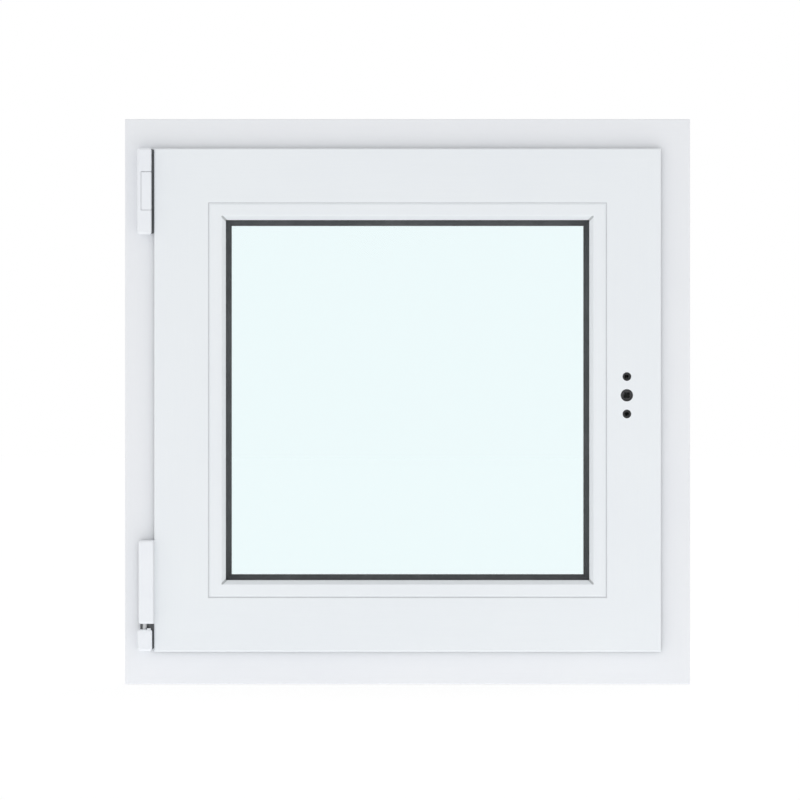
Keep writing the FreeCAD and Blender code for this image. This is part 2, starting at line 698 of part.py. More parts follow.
around(
    {
        "left": "glazing_bead_left",
        "right": "glazing_bead_right",
        "top": "glazing_bead_top",
        "low": "glazing_bead_bottom",
    },
    BEAD_SECTION, [BEAD_CHAMBER],
    "(frame_width - 2 * reveal_side - 2 * sash_face)",
    "(frame_height - reveal_head - reveal_sill - 2 * sash_face)",
    "-frame_width / 2 + reveal_side + sash_face",
    "frame_height - reveal_head - sash_face",
    "reveal_sill + sash_face",
    SASH_FRONT, BEAD_ROUNDS,
)

LIP_FOOT = "sash_face + bead_height"
ROOM_SEAL_SECTION = [
    (LIP_FOOT + " - glazing_lip", BEAD_BACK),
    (LIP_FOOT, BEAD_BACK),
    (LIP_FOOT, BEAD_BACK + " - glazing_lip_rise"),
    (LIP_FOOT + " + glazing_lip / 2", BEAD_BACK + " - glazing_lip_rise + lip_fall"),
    (LIP_FOOT + " + glazing_lip", PANE_FRONT + " - lip_edge"),
    (LIP_FOOT + " + glazing_lip", PANE_FRONT),
    (LIP_FOOT + " - glazing_lip", PANE_FRONT),
]
ring(
    "glazing_gasket_room", ROOM_SEAL_SECTION, SASH_WIDTH, SASH_HEIGHT,
    LIP_FOOT, SASH_FRONT, SASH_MIDDLE,
)
OUT_FACE = "(%s + %s)" % (PANE_FRONT, GLASS_STACK)
OUT_SEAL_SECTION = [
    ("sash_leg_top - glazing_lip", OUT_FACE),
    ("sash_leg_top + outside_lip", OUT_FACE),
    ("sash_leg_top + outside_lip", OUT_FACE + " + lip_edge"),
    ("sash_leg_top", REBATE_BACK),
    ("sash_leg_top - glazing_lip", REBATE_BACK),
]
ring(
    "glazing_gasket_outside", OUT_SEAL_SECTION, SASH_WIDTH, SASH_HEIGHT,
    "sash_leg_top", SASH_FRONT, SASH_MIDDLE,
)

# Hinges. Each part is drawn around the turning axis, from its own underside up,
# with the frame's room face at y = hinge_axis_out.

AXIS_X = "-frame_width / 2 + hinge_axis_in"
AXIS_Y = "-frame_depth / 2 - hinge_axis_out"
HINGE_FRONT = "(hinge_axis_out - hinge_proud)"
SASH_EDGE = "(reveal_side - hinge_axis_in)"
PLATE_RIGHT = "(%s + plate_under)" % SASH_EDGE
UPPER_RIGHT = "(%s - upper_slot)" % SASH_EDGE
UPPER_FOOT = "(frame_height - reveal_head + upper_above - upper_length)"
REST_RIGHT = "(%s - rest_slot)" % SASH_EDGE
REST_FOOT = "(reveal_sill + rest_above)"
STRAP_RIGHT = "(%s - strap_slot)" % SASH_EDGE
STRAP_FOOT = "(%s + rest_length + pin_gap)" % REST_FOOT


def hinge_block(node, left, right, back, foot, length):
    """A block in front of the frame, rounded everywhere but around its back."""
    body = new_body(node)
    sketch = new_sketch(body, "Plan", "XY_Plane")
    add_box(sketch, "-" + left, HINGE_FRONT, right, back)
    pad(body, "Block", sketch, length)
    rear = size(back)
    fillet(body, "Rounding", "hinge_round", lambda edge, middle: middle.y < rear - TOUCH)
    place(body, AXIS_X, AXIS_Y, foot)
    return body


def plain_pad(node, name, shapes, length, foot):
    """A straight piece along the hinge axis from (kind, sizes) shapes."""
    body = new_body(node)
    sketch = new_sketch(body, name, "XY_Plane")
    for kind, values in shapes:
        kind(sketch, *values)
    pad(body, "Length", sketch, length)
    place(body, AXIS_X, AXIS_Y, foot)
    return body


def plate_seat(body, lift, length):
    """Clears the back of a cover for the metal plate on the frame."""
    sketch = new_sketch(body, "PlateSeat", "XY_Plane", lift)
    add_box(sketch, "-plate_left", "hinge_axis_out - plate_thickness", PLATE_RIGHT,
            "hinge_axis_out + over")
    pocket(body, "CutPlateSeat", sketch, length)


def pin_bore(body, diameter, lift, length):
    """Drills a block or cover for a pin."""
    sketch = new_sketch(body, "PinBore", "XY_Plane", lift)
    add_circle(sketch, "0", "0", diameter)
    pocket(body, "DrillPinBore", sketch, length)


# Upper hinge: plate, C shaped bearing, the stay's knuckle in its mouth, and the pin
upper_plate = plain_pad("upper_hinge_plate", "Plan", [
    (add_box, ("-plate_left", "hinge_axis_out - plate_thickness", PLATE_RIGHT, "hinge_axis_out")),
], "upper_length - 2 * plate_end", UPPER_FOOT + " + plate_end")
plate_edge = size(PLATE_RIGHT)
fillet(upper_plate, "Corners", "plate_corner",
       lambda edge, middle: edge.BoundBox.ZLength < TOUCH and middle.x > plate_edge - TOUCH)

bearing = hinge_block(
    "upper_hinge_bearing", "upper_left", UPPER_RIGHT, "hinge_axis_out",
    UPPER_FOOT, "upper_length",
)
mouth = new_sketch(bearing, "Mouth", "XZ_Plane")
add_box(
    mouth, "-upper_left + upper_wall", "knuckle_up",
    UPPER_RIGHT + " + over", "knuckle_up + knuckle_length",
)
pocket(bearing, "CutMouth", mouth, "3 * hinge_proud", midplane=True)
plate_seat(bearing, "plate_end", "upper_length - 2 * plate_end")
pin_bore(bearing, "upper_pin", "0", "upper_length - upper_pin_cap")

knuckle = plain_pad("stay_knuckle", "Plan", [
    (add_box, ("-upper_left + upper_wall + hinge_play", HINGE_FRONT, UPPER_RIGHT,
               "hinge_axis_out - knuckle_back")),
    (add_circle, ("0", "0", "upper_pin")),
], "knuckle_length - 2 * hinge_play", UPPER_FOOT + " + knuckle_up + hinge_play")
fillet(knuckle, "FrontEdge", "hinge_round", along_z_at(UPPER_RIGHT, HINGE_FRONT))
knuckle_rear = size("hinge_axis_out - knuckle_back")
fillet(knuckle, "Rounding", "knuckle_round",
       lambda edge, middle: edge.BoundBox.YMax < knuckle_rear - TOUCH and
       edge.BoundBox.ZLength < TOUCH and edge.Curve.TypeId != "Part::GeomCircle")
plain_pad("upper_hinge_pin", "Plan", [(add_circle, ("0", "0", "upper_pin"))],
          "upper_length - upper_pin_cap", UPPER_FOOT)

# Lower hinge: bracket and cover on the frame, strap and cover on the sash, and the pin
bracket = plain_pad("pivot_rest_bracket", "Plan", [
    (add_box, ("-plate_left", "hinge_axis_out - plate_thickness", PLATE_RIGHT, "hinge_axis_out")),
], "rest_length - cover_wall + pin_gap + bracket_behind", REST_FOOT + " + cover_wall")
fillet(bracket, "FootCorner", "plate_corner",
       lambda edge, middle: edge.BoundBox.ZLength < TOUCH and middle.z < TOUCH and
       middle.x > plate_edge - TOUCH)
block = new_sketch(bracket, "PinBlock", "XY_Plane")
add_box(block, "-strap_barrel / 2", "-strap_barrel / 2", "strap_barrel / 2",
        "hinge_axis_out - plate_thickness")
pad(bracket, "Block", block, "rest_length - 2 * cover_wall - 2 * hinge_play")
pin_bore(bracket, "lower_pin", "lower_pin_up - cover_wall", "rest_length")

rest_cover = hinge_block(
    "pivot_rest_cover", "rest_left", REST_RIGHT, "hinge_axis_out", REST_FOOT, "rest_length",
)
hollow = new_sketch(rest_cover, "Hollow", "XY_Plane", "cover_wall")
add_box(hollow, "-rest_left + cover_wall", HINGE_FRONT + " + cover_wall",
        REST_RIGHT + " - cover_wall", "hinge_axis_out + over")
pocket(rest_cover, "CutHollow", hollow, "rest_length - 2 * cover_wall")
plate_seat(rest_cover, "cover_wall", "rest_length")
pin_bore(rest_cover, "lower_pin + 2 * hinge_play", "rest_length - 2 * cover_wall", "3 * cover_wall")
lug = new_sketch(rest_cover, "Lug", "XY_Plane", "rest_length - cover_wall")
add_box(lug, REST_RIGHT + " - hinge_round / 2 - lug_width", HINGE_FRONT + " + hinge_round",
        REST_RIGHT + " - hinge_round / 2", "hinge_axis_out - plate_thickness - cover_wall")
pad(rest_cover, "LugPad", lug, "cover_wall + lug_rise")
flute = rest_cover.newObject("PartDesign::SubtractiveCone", "Flute")
flute.AttachmentSupport = [(origin_plane(rest_cover, "XY_Plane"), "")]
flute.MapMode = "FlatFace"
flute.setExpression("AttachmentOffset.Base.x", tied("-flute_left"))
flute.setExpression("AttachmentOffset.Base.y", tied(HINGE_FRONT + " - (flute_radius - flute_deep)"))
flute.setExpression("AttachmentOffset.Base.z", tied("rest_length - flute_length"))
flute.setExpression("Radius1", tied("flute_radius - flute_deep"))
flute.setExpression("Radius2", tied("flute_radius"))
flute.setExpression("Height", tied("flute_length"))
doc.recompute()

strap_cover = hinge_block(
    "sash_hinge_cover", "strap_left", STRAP_RIGHT, "hinge_axis_out - strap_back",
    STRAP_FOOT, "strap_length",
)
hollow = new_sketch(strap_cover, "Hollow", "XY_Plane", "cover_wall")
add_box(hollow, "-strap_left + cover_wall", HINGE_FRONT + " + 2 * cover_wall",
        STRAP_RIGHT + " - cover_wall", "hinge_axis_out + over")
pocket(strap_cover, "CutHollow", hollow, "strap_length - 2 * cover_wall")
leaf_way = new_sketch(strap_cover, "LeafWay", "XY_Plane", "cover_wall")
add_box(leaf_way, "0", "hinge_axis_out - sash_proud",
        STRAP_RIGHT + " + over", "hinge_axis_out + over")
pocket(strap_cover, "CutLeafWay", leaf_way, "strap_length - 2 * cover_wall")
lip = new_sketch(strap_cover, "Lip", "XY_Plane")
add_box(lip, STRAP_RIGHT + " - cover_wall",
        "hinge_axis_out - sash_proud - strap_slot - cover_lip_thickness",
        SASH_EDGE + " + cover_lip", "hinge_axis_out - sash_proud - strap_slot")
pad(strap_cover, "LipPad", lip, "strap_length")
pin_bore(strap_cover, "lower_pin + 2 * hinge_play", "0", "2 * cover_wall")

strap = plain_pad("sash_hinge_strap", "Plan", [
    (add_circle, ("0", "0", "strap_barrel")),
    (add_circle, ("0", "0", "lower_pin")),
], "strap_length - 4 * cover_wall", STRAP_FOOT + " + 2 * cover_wall")
leaf = new_sketch(strap, "Leaf", "XY_Plane")
add_box(leaf, "(lower_pin + strap_barrel) / 4", "0", SASH_EDGE, "strap_plate")
pad(strap, "LeafPad", leaf, "strap_length - 4 * cover_wall")
plain_pad("pivot_pin", "Plan", [(add_circle, ("0", "0", "lower_pin"))],
          "lower_pin_length", REST_FOOT + " + lower_pin_up")

# Check every part

doc.recompute()
for thing in doc.Objects:
    if "Invalid" in thing.State or "Error" in thing.State:
        raise RuntimeError("%s is %s" % (thing.Label, thing.State))

bodies = doc.findObjects("PartDesign::Body")
for body in bodies:
    shape = body.Shape
    if shape.isNull() or not shape.isValid() or len(shape.Solids) != 1:
        raise RuntimeError("%s has no single sound solid" % body.Label)

# Write every part

os.makedirs("parts", exist_ok=True)
for body in bodies:
    shape = body.Shape
    shape.exportStep("parts/%s.step" % body.Label)
    box = shape.BoundBox
    print("%-24s %9.1f cm3  x %7.1f %7.1f  y %6.1f %6.1f  z %6.1f %6.1f" % (
        body.Label, shape.Volume / 1000, box.XMin, box.XMax, box.YMin, box.YMax, box.ZMin, box.ZMax))
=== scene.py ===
"""Finishes, small fittings, light and camera for a white plastic tilt and turn window."""

import logging
import math
from dataclasses import dataclass, field
from enum import Enum
from typing import Any, Iterable, Mapping, Optional, Union

import bmesh
import bpy
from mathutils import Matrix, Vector


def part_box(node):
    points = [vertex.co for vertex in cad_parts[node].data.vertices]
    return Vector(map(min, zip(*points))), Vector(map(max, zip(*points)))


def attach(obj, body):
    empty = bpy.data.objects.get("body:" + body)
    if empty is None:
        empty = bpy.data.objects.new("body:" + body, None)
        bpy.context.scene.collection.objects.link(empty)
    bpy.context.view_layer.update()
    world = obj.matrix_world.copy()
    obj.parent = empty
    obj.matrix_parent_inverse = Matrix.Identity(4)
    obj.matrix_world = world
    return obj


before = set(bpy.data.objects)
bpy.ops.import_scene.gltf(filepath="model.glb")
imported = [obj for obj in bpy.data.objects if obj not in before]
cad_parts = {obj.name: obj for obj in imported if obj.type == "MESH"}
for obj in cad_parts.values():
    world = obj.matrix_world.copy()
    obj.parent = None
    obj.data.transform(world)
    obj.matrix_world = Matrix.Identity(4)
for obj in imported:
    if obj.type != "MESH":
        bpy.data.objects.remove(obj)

log = logging.getLogger("window")
BODY = "root"
MM = 0.001
# How far a bead's foot reaches into the sash, out of sight.
FOOT_DEEP = 3 * MM
Colour = tuple[float, float, float]
Span = tuple[float, float]
Number = Union[int, float]
Operand = Union["Value", Number]


class Axis(Enum):
    """A direction of the window: across, through it towards the outside, or up."""

    X = 0
    Y = 1
    Z = 2

    @property
    def vector(self) -> Vector:
        """The unit vector along this direction."""
        return Vector(self.spread(1.0, 0.0))

    def spread(self, along: float, across: float) -> tuple[float, ...]:
        """Three numbers: one along this direction and another for the other two."""
        return tuple(along if i == self.value else across for i in range(3))


# The standard curve of a screen: a straight toe, then a power.
TOE_END = 0.04045
TOE_SLOPE = 12.92
CURVE_SHIFT = 0.055
CURVE_POWER = 2.4


def channel(value: int) -> float:
    """The linear value of one channel of a screen colour, given from 0 to 255."""
    share = value / 255
    if share <= TOE_END:
        return share / TOE_SLOPE
    return ((share + CURVE_SHIFT) / (1 + CURVE_SHIFT)) ** CURVE_POWER


def linear(red: int, green: int, blue: int) -> Colour:
    """The linear colour that shaders use for a screen colour, given from 0 to 255."""
    return channel(red), channel(green), channel(blue)


class Value:
    """A shader socket that does maths as Python does."""

    def __init__(self, tree: "ShaderTree", socket: bpy.types.NodeSocket) -> None:
        """Wraps a socket of a tree."""
        self.tree = tree
        self.socket = socket

    def _maths(self, operation: str, *values: Operand) -> "Value":
        """Adds a Math node to this tree."""
        return self.tree.add("ShaderNodeMath", {"operation": operation}, dict(enumerate(values)))

    def __add__(self, other: Operand) -> "Value":
        """self + other."""
        return self._maths("ADD", self, other)

    __radd__ = __add__

    def __sub__(self, other: Operand) -> "Value":
        """self - other."""
        return self._maths("SUBTRACT", self, other)

    def __rsub__(self, other: Number) -> "Value":
        """other - self."""
        return self._maths("SUBTRACT", other, self)

    def __mul__(self, other: Operand) -> "Value":
        """self * other."""
        return self._maths("MULTIPLY", self, other)

    __rmul__ = __mul__

    def __abs__(self) -> "Value":
        """Distance from zero."""
        return self._maths("ABSOLUTE", self)

    def highest(self, other: Operand) -> "Value":
        """The higher of the two."""
        return self._maths("MAXIMUM", self, other)

    def smooth(self, low: float, high: float) -> "Value":
        """Eases from 0 at low to 1 at high, as a soft mask."""
        settings = {"interpolation_type": "SMOOTHSTEP"}
        return self.tree.add("ShaderNodeMapRange", settings, {0: self, 1: low, 2: high}, "Result")


class ShaderTree:
    """A node tree that ends in one shader."""

    def __init__(self, tree: bpy.types.NodeTree, output: str) -> None:
        """Empties a tree and gives it an output node.

        Args:
            tree: The node tree of a material or a world.
            output: The type of its output node.
        """
        self.tree = tree
        self.tree.nodes.clear()
        self.output = self.tree.nodes.new(output)

    def add(
        self,
        kind: str,
        settings: Optional[Mapping[str, Any]] = None,
        sockets: Optional[Mapping[Union[int, str], Any]] = None,
        out: Union[int, str] = 0,
    ) -> Value:
        """Adds a node.

        Args:
            kind: The node's type.
            settings: Its properties, set first.
            sockets: Plain values, or Value links, by socket number or name.
            out: The output socket to return.

        Returns:
            The chosen output, ready for maths.
        """
        node = self.tree.nodes.new(kind)
        for name, setting in (settings or {}).items():
            setattr(node, name, setting)
        for name, value in (sockets or {}).items():
            if isinstance(value, Value):
                self.tree.links.new(value.socket, node.inputs[name])
            else:
                node.inputs[name].default_value = value
        return Value(self, node.outputs[out])

    def end(self, shader: Value) -> None:
        """Ends the tree in a shader."""
        self.tree.links.new(shader.socket, self.output.inputs["Surface"])

    def seen(self) -> Value:
        """Tells what is looked at from what only gives light.

        Returns:
            1 where it is seen straight, in gloss or through glass, else 0.
        """
        straight = self.add("ShaderNodeLightPath", out="Is Camera Ray")
        gloss = self.add("ShaderNodeLightPath", out="Is Glossy Ray")
        glass = self.add("ShaderNodeLightPath", out="Is Transmission Ray")
        return straight.highest(gloss).highest(glass)


@dataclass(frozen=True)
class Noise:
    """A noise pattern: how fine it is, how many layers it has and how rough they are."""

    scale: float
    detail: float
    rough: float


@dataclass(frozen=True)
class Relief:
    """How far a bump raises the surface, in metres, and its strength."""

    distance: float
    strength: float


# The colour sockets of a Mix node, by number, because their names repeat.
MIX_SHARE, MIX_LOW, MIX_HIGH = 0, 6, 7
MIX_COLOUR = 2


class FinishTree(ShaderTree):
    """The node tree of one finish, on Object coordinates."""

    def __init__(self, name: str) -> None:
        """Makes an empty material.

        Args:
            name: The material's name.
        """
        self.material = bpy.data.materials.new(name)
        self.material.use_nodes = True
        super().__init__(self.material.node_tree, "ShaderNodeOutputMaterial")
        self.place = self.add("ShaderNodeTexCoord", out="Object")

    def part(self, axis: Axis) -> Value:
        """The object coordinate along an axis, in metres."""
        return self.add("ShaderNodeSeparateXYZ", sockets={0: self.place}, out=axis.value)

    def noise(self, pattern: Noise) -> Value:
        """Smooth noise from 0 to 1, alike in every direction."""
        return self._noise(self.place, pattern)

    def streaks(self, pattern: Noise, run: Axis, scale: Span) -> Value:
        """Noise drawn out along a bar.

        Args:
            pattern: The noise.
            run: The direction of the bar.
            scale: The scale along the bar and across it, on top of the noise's own.

        Returns:
            The noise, from 0 to 1.
        """
        sockets = {"Vector": self.place, "Scale": run.spread(*scale)}
        drawn = self.add("ShaderNodeMapping", {"vector_type": "POINT"}, sockets)
        return self._noise(drawn, pattern)

    def _noise(self, where: Value, pattern: Noise) -> Value:
        """Adds a noise node that reads a place.

        Args:
            where: The coordinates.
            pattern: The noise.

        Returns:
            The noise, from 0 to 1.
        """
        sockets = {
            "Vector": where,
            "Scale": pattern.scale,
            "Detail": pattern.detail,
            "Roughness": pattern.rough,
        }
        return self.add("ShaderNodeTexNoise", {"noise_dimensions": "3D"}, sockets, "Fac")

    def blend(self, share: Value, low: Union[Value, Colour], high: Union[Value, Colour]) -> Value:
        """Mixes two colours.

        Args:
            share: 0 for all of the first, 1 for all of the second.
            low: The first colour.
            high: The second colour.

        Returns:
            The mixed colour.
        """
        low, high = (end if isinstance(end, Value) else (*end, 1.0) for end in (low, high))
        settings = {"data_type": "RGBA", "blend_type": "MIX"}
        sockets = {MIX_SHARE: share, MIX_LOW: low, MIX_HIGH: high}
        return self.add("ShaderNodeMix", settings, sockets, MIX_COLOUR)

    def bump(self, height: Value, relief: Relief) -> Value:
        """A surface normal raised by a height."""
        sockets = {"Height": height, "Distance": relief.distance, "Strength": relief.strength}
        return self.add("ShaderNodeBump", sockets=sockets, out="Normal")

    def surface(self, sockets: Mapping[str, Any]) -> bpy.types.Material:
        """Ends the tree in a Principled shader with these sockets."""
        self.end(self.add("ShaderNodeBsdfPrincipled", sockets=sockets))
        return self.material


@dataclass(frozen=True)
class Mitre:
    """The soft line where two beads meet at 45 degrees, and painted shade in the joint beside the
    sash.

    Lengths are metres. core and joint_fade are shares of the line's and the joint's width, and
    groove is how deep the line is cut, against the plastic's own relief.
    """

    half_width: float
    half_height: float
    middle: float
    face: float
    bead: float
    width: float = 2.7 * MM
    core: float = 0.3
    colour: Colour = (0.48, 0.5, 0.51)
    groove: float = 4.0
    slope: float = 5.5 * MM
    slope_fade: float = 0.6 * MM
    face_fade: Span = (0.02 * MM, 0.4 * MM)
    # The joint's band is painted shade: grey on the bead, darkest beside the sash.
    joint: float = 1.1 * MM
    joint_fade: Span = (1.6, 0.5)
    joint_shade_colour: Colour = (0.67, 0.68, 0.7)

    def offsets(self, tree: FinishTree) -> tuple[Value, Value]:
        """How far a point lies outside the beads' inner edge.

        Args:
            tree: The finish that reads it.

        Returns:
            The distance across and the distance up or down, in metres.
        """
        across = abs(tree.part(Axis.X)) - self.half_width
        up = abs(tree.part(Axis.Z) - self.middle) - self.half_height
        return across, up

    def mask(self, tree: FinishTree) -> Value:
        """The line down the slope to the glass.

        Args:
            tree: The finish that shows it.

        Returns:
            1 on the line, and 0 on the bead's face and beside the sash.
        """
        across, up = self.offsets(tree)
        line = 1 - abs(across - up).smooth(self.width * self.core, self.width)
        near_glass = 1 - across.highest(up).smooth(self.slope, self.slope + self.slope_fade)
        start, end = (self.face + depth for depth in self.face_fade)
        return line * near_glass * tree.part(Axis.Y).smooth(start, end)

    def joint_shade_mask(self, tree: FinishTree) -> Value:
        """Painted shade in the narrow joint between bead and sash.

        Args:
            tree: The finish that shows it.

        Returns:
            1 in the joint's painted shade, fading to 0 on the bead.
        """
        across, up = self.offsets(tree)
        start, end = (self.bead - self.joint * share for share in self.joint_fade)
        return across.highest(up).smooth(start, end)


@dataclass(frozen=True)
class ExtrudedPlastic:
    """Satin white plastic, drawn through a die, with faint lines along its run.

    The roughness given is the lowest; lines and grain add to it.
    """

    name: str
    run: Axis
    colour: Colour
    shade: Colour
    mitre: Optional[Mitre] = None
    lines: Noise = Noise(9.0, 3.0, 0.6)
    line_scale: Span = (1.2, 60.0)
    clouds: Noise = Noise(7.0, 2.0, 0.5)
    grain: Noise = Noise(1400.0, 2.0, 0.6)
    line_tone: float = 0.4
    tones: Span = (0.2, 0.8)
    line_height: float = 0.7
    relief: Relief = Relief(0.06 * MM, 0.35)
    roughness: float = 0.29
    rough_lines: float = 0.06
    rough_grain: float = 0.05
    specular: float = 0.42

    def build(self) -> bpy.types.Material:
        """Makes the material.

        Returns:
            The finished material.
        """
        tree = FinishTree(self.name)
        lines = tree.streaks(self.lines, self.run, self.line_scale)
        clouds = tree.noise(self.clouds)
        grain = tree.noise(self.grain)
        share = clouds * (1 - self.line_tone) + lines * self.line_tone
        colour = tree.blend(share.smooth(*self.tones), self.shade, self.colour)
        height = lines * self.line_height + grain * (1 - self.line_height)
        if self.mitre is not None:
            seam = self.mitre.mask(tree)
            # Painted shade in the joint beside the sash, then the mitre's dark line.
            colour = tree.blend(self.mitre.joint_shade_mask(tree), colour, self.mitre.joint_shade_colour)
            colour = tree.blend(seam, colour, self.mitre.colour)
            height = height - seam * self.mitre.groove
        return tree.surface({
            "Base Color": colour,
            "Roughness": self.roughness + lines * self.rough_lines + grain * self.rough_grain,
            "Specular IOR Level": self.specular,
            "Normal": tree.bump(height, self.relief),
        })


@dataclass(frozen=True)
class MouldedPlastic:
    """Satin white plastic from a mould, with a very fine texture.

    A cover that meets the sash has painted shade along its joint there, a grey band, and joint_at
    is its place across the window, in metres. The roughness given is the lowest; the texture adds
    to it.
    """

    name: str
    colour: Colour
    shade: Colour
    joint_at: Optional[float] = None
    joint: float = 1.0 * MM
    joint_core: float = 0.4
    joint_shade_colour: Colour = (0.7, 0.72, 0.74)
    texture: Noise = Noise(900.0, 3.0, 0.55)
    clouds: Noise = Noise(25.0, 2.0, 0.5)
    tones: Span = (0.25, 0.75)
    relief: Relief = Relief(0.05 * MM, 0.4)
    roughness: float = 0.32
    rough_texture: float = 0.08
    specular: float = 0.42

    def build(self) -> bpy.types.Material:
        """Makes the material.

        Returns:
            The finished material.
        """
        tree = FinishTree(self.name)
        texture = tree.noise(self.texture)
        clouds = tree.noise(self.clouds)
        colour = tree.blend(clouds.smooth(*self.tones), self.shade, self.colour)
        # Painted shade: a grey band where the cover meets the sash.
        if self.joint_at is not None:
            away = abs(tree.part(Axis.X) - self.joint_at)
            joint = 1 - away.smooth(self.joint * self.joint_core, self.joint)
            colour = tree.blend(joint, colour, self.joint_shade_colour)
        return tree.surface({
            "Base Color": colour,
            "Roughness": self.roughness + texture * self.rough_texture,
            "Specular IOR Level": self.specular,
            "Normal": tree.bump(texture, self.relief),
        })


@dataclass(frozen=True)
class Rubber:
    """Dark grey gasket rubber, dull, with a little pale dust.

    The roughness given is the lowest; the grain adds to it.
    """

    name: str
    colour: Colour
    dust: Colour
    grain: Noise = Noise(1800.0, 3.0, 0.6)
    drift: Noise = Noise(30.0, 3.0, 0.6)
    drift_tone: float = 0.7
    tones: Span = (0.35, 0.85)
    relief: Relief = Relief(0.08 * MM, 0.5)
    roughness: float = 0.62
    rough_grain: float = 0.15
    specular: float = 0.35

    def build(self) -> bpy.types.Material:
        """Makes the material.

        Returns:
            The finished material.
        """
        tree = FinishTree(self.name)
        grain = tree.noise(self.grain)
        drift = tree.noise(self.drift)
        dusty = drift * self.drift_tone + grain * (1 - self.drift_tone)
        return tree.surface({
            "Base Color": tree.blend(dusty.smooth(*self.tones), self.colour, self.dust),
            "Roughness": self.roughness + grain * self.rough_grain,
            "Specular IOR Level": self.specular,
            "Normal": tree.bump(grain, self.relief),
        })


@dataclass(frozen=True)
class FloatGlass:
    """Clear glass with a faint cool tint, and here and there a very faint smear."""

    name: str
    tint: Colour
    smear: Noise = Noise(2.2, 3.0, 0.55)
    smear_scale: Span = (9.0, 3.0)
    smears: Span = (0.55, 0.95)
    rough_smear: float = 0.015
    refraction: float = 1.5

    def build(self) -> bpy.types.Material:
        """Makes the material.

        Returns:
            The finished material.
        """
        tree = FinishTree(self.name)
        smear = tree.streaks(self.smear, Axis.Z, self.smear_scale)
        return tree.surface({
            "Base Color": (*self.tint, 1.0),
            "Roughness": smear.smooth(*self.smears) * self.rough_smear,
            "IOR": self.refraction,
            "Transmission Weight": 1.0,
        })


@dataclass(frozen=True)
class PlatedSteel:
    """Zinc plated steel: dull grey, brushed upwards, with a faint bloom.

    The roughness given is the lowest; the brushing adds to it.
    """

    name: str
    colour: Colour
    dark: Colour
    roughness: float = 0.3
    rough_brush: float = 0.16
    brush: Noise = Noise(9.0, 3.0, 0.65)
    brush_scale: Span = (8.0, 240.0)
    bloom: Noise = Noise(160.0, 3.0, 0.6)
    bloom_tone: float = 0.5
    tones: Span = (0.3, 0.7)
    relief: Relief = Relief(0.04 * MM, 0.5)

    def build(self) -> bpy.types.Material:
        """Makes the material.

        Returns:
            The finished material.
        """
        tree = FinishTree(self.name)
        brushed = tree.streaks(self.brush, Axis.Z, self.brush_scale)
        bloom = tree.noise(self.bloom)
        share = brushed * (1 - self.bloom_tone) + bloom * self.bloom_tone
        return tree.surface({
            "Base Color": tree.blend(share.smooth(*self.tones), self.dark, self.colour),
            "Metallic": 1.0,
            "Roughness": self.roughness + brushed * self.rough_brush,
            "Normal": tree.bump(brushed, self.relief),
        })


@dataclass(frozen=True)
class SpacerBar:
    """Rolled aluminium spacer with its two rows of fine breather holes, painted near black as
    painted shade inside the holes.

    Lengths are metres. The roughness given is the lowest; the rolling marks add to it.
    """

    name: str
    colour: Colour
    # The holes' colour is painted shade: the dark inside of each hole.
    hole: Colour
    pitch: float = 3.0 * MM
    row_gap: float = 5.0 * MM
    middle: float = -9.0 * MM
    radius: float = 0.45 * MM
    hole_core: float = 0.7
    hole_dull: float = 0.8
    rolled: Noise = Noise(300.0, 3.0, 0.6)
    rolled_height: float = 0.3
    relief: Relief = Relief(0.2 * MM, 0.4)
    roughness: float = 0.34
    rough_rolled: float = 0.14

    def row(self, tree: FinishTree, axis: Axis, depth: Value) -> Value:
        """The holes of the bars that run one way.

        Args:
            tree: The finish that shows them.
            axis: The direction of those bars.
            depth: The distance from a row's line through the window.

        Returns:
            1 in a hole, else 0.
        """
        steps = tree.part(axis) * (1 / self.pitch)
        half_step = 0.5
        near = tree.add("ShaderNodeMath", {"operation": "PINGPONG"}, {0: steps, 1: half_step})
        off = near * self.pitch
        reach = off * off + depth * depth
        return 1 - reach.smooth((self.radius * self.hole_core) ** 2, self.radius ** 2)

    def build(self) -> bpy.types.Material:
        """Makes the material.

        Returns:
            The finished material.
        """
        tree = FinishTree(self.name)
        depth = abs(tree.part(Axis.Y) - self.middle) - self.row_gap / 2
        holes = self.row(tree, Axis.X, depth).highest(self.row(tree, Axis.Z, depth))
        rolled = tree.noise(self.rolled)
        return tree.surface({
            # The holes are painted dark and dull: painted shade.
            "Base Color": tree.blend(holes, self.colour, self.hole),
            "Metallic": 1 - holes * self.hole_dull,
            "Roughness": self.roughness + rolled * self.rough_rolled,
            "Normal": tree.bump(rolled * self.rolled_height - holes, self.relief),
        })


SASH_WHITE = linear(234, 238, 241)
SASH_SHADE = linear(231, 235, 239)
FRAME_WHITE = linear(235, 237, 240)
FRAME_SHADE = linear(232, 234, 238)
COVER_WHITE = linear(236, 239, 243)
COVER_SHADE = linear(233, 236, 241)
DRAIN_WHITE = linear(232, 235, 238)
DRAIN_SHADE = linear(228, 231, 235)
# How far the painted shade of the cover's joint stands off the sash.
COVER_GAP = 0.4 * MM


